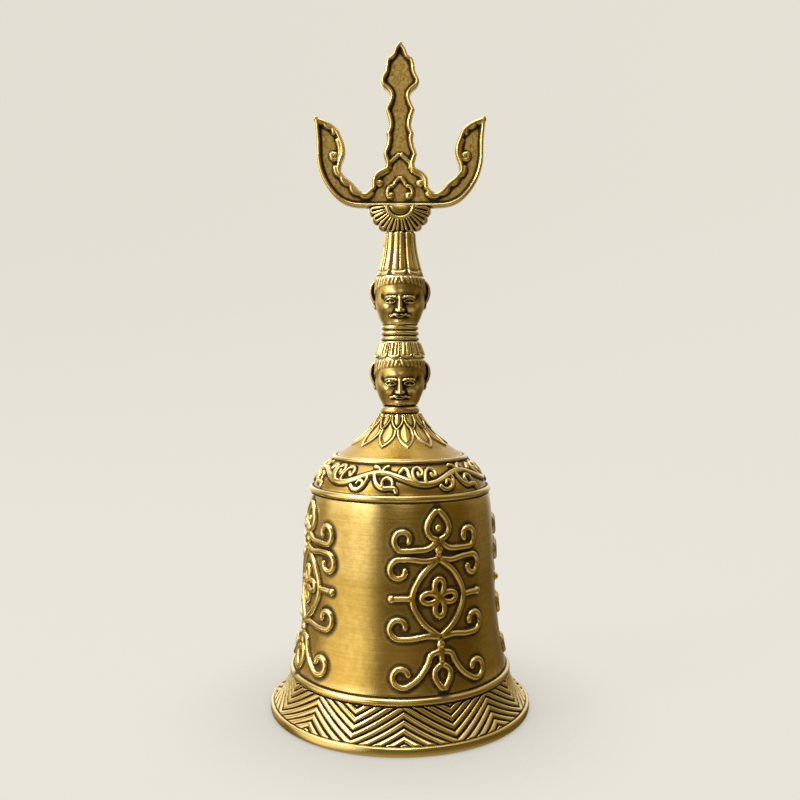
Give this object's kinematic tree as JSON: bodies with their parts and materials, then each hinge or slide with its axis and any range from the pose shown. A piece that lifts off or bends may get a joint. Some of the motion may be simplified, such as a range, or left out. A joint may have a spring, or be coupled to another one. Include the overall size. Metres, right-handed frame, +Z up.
{
  "type": "hand bell",
  "caption": "Cast brass hand bell with a flared cup, a clapper hung on a ring, and a stacked handle of heads and a fluted neck that ends in a flat trident.",
  "frame": {"origin": "centre of the mouth, on the plane that the rim stands on", "axes": "+Z up along the bell's axis, X along the trident's width, the handle's front faces -Y"},
  "size_m": [0.0908, 0.0908, 0.2341],
  "materials": {
    "cup_brass": "antiqued, brushed",
    "handle_brass": "antiqued, cast",
    "clapper_brass": "satin",
    "hardware_steel": "dull"
  },
  "bodies": {
    "bell": {"bell_cup": "cup_brass", "neck_ring": "handle_brass", "lower_head": "handle_brass", "waist_collar": "handle_brass", "upper_head": "handle_brass", "fluted_neck": "handle_brass", "half_rosette": "handle_brass", "trident": "handle_brass", "tie_rod": "hardware_steel", "crown_washer": "hardware_steel", "crown_nut": "hardware_steel", "hanger_eye": "clapper_brass"},
    "link": {"swing_link": "hardware_steel"},
    "clapper": {"clapper_shaft": "clapper_brass", "clapper_ball": "clapper_brass", "clapper_nut": "hardware_steel"}
  },
  "joints": [
    {"name": "link_swing", "type": "hinge", "parent": "bell", "child": "link", "pos_m": [0, 0, 0.0746], "axis": [1, 0, 0], "range_deg": [-24.2, 24.2]},
    {"name": "clapper_sway", "type": "hinge", "parent": "link", "child": "clapper", "pos_m": [0, 0, 0.06986], "axis": [0, 1, 0], "range_deg": [-5, 5]}
  ]
}
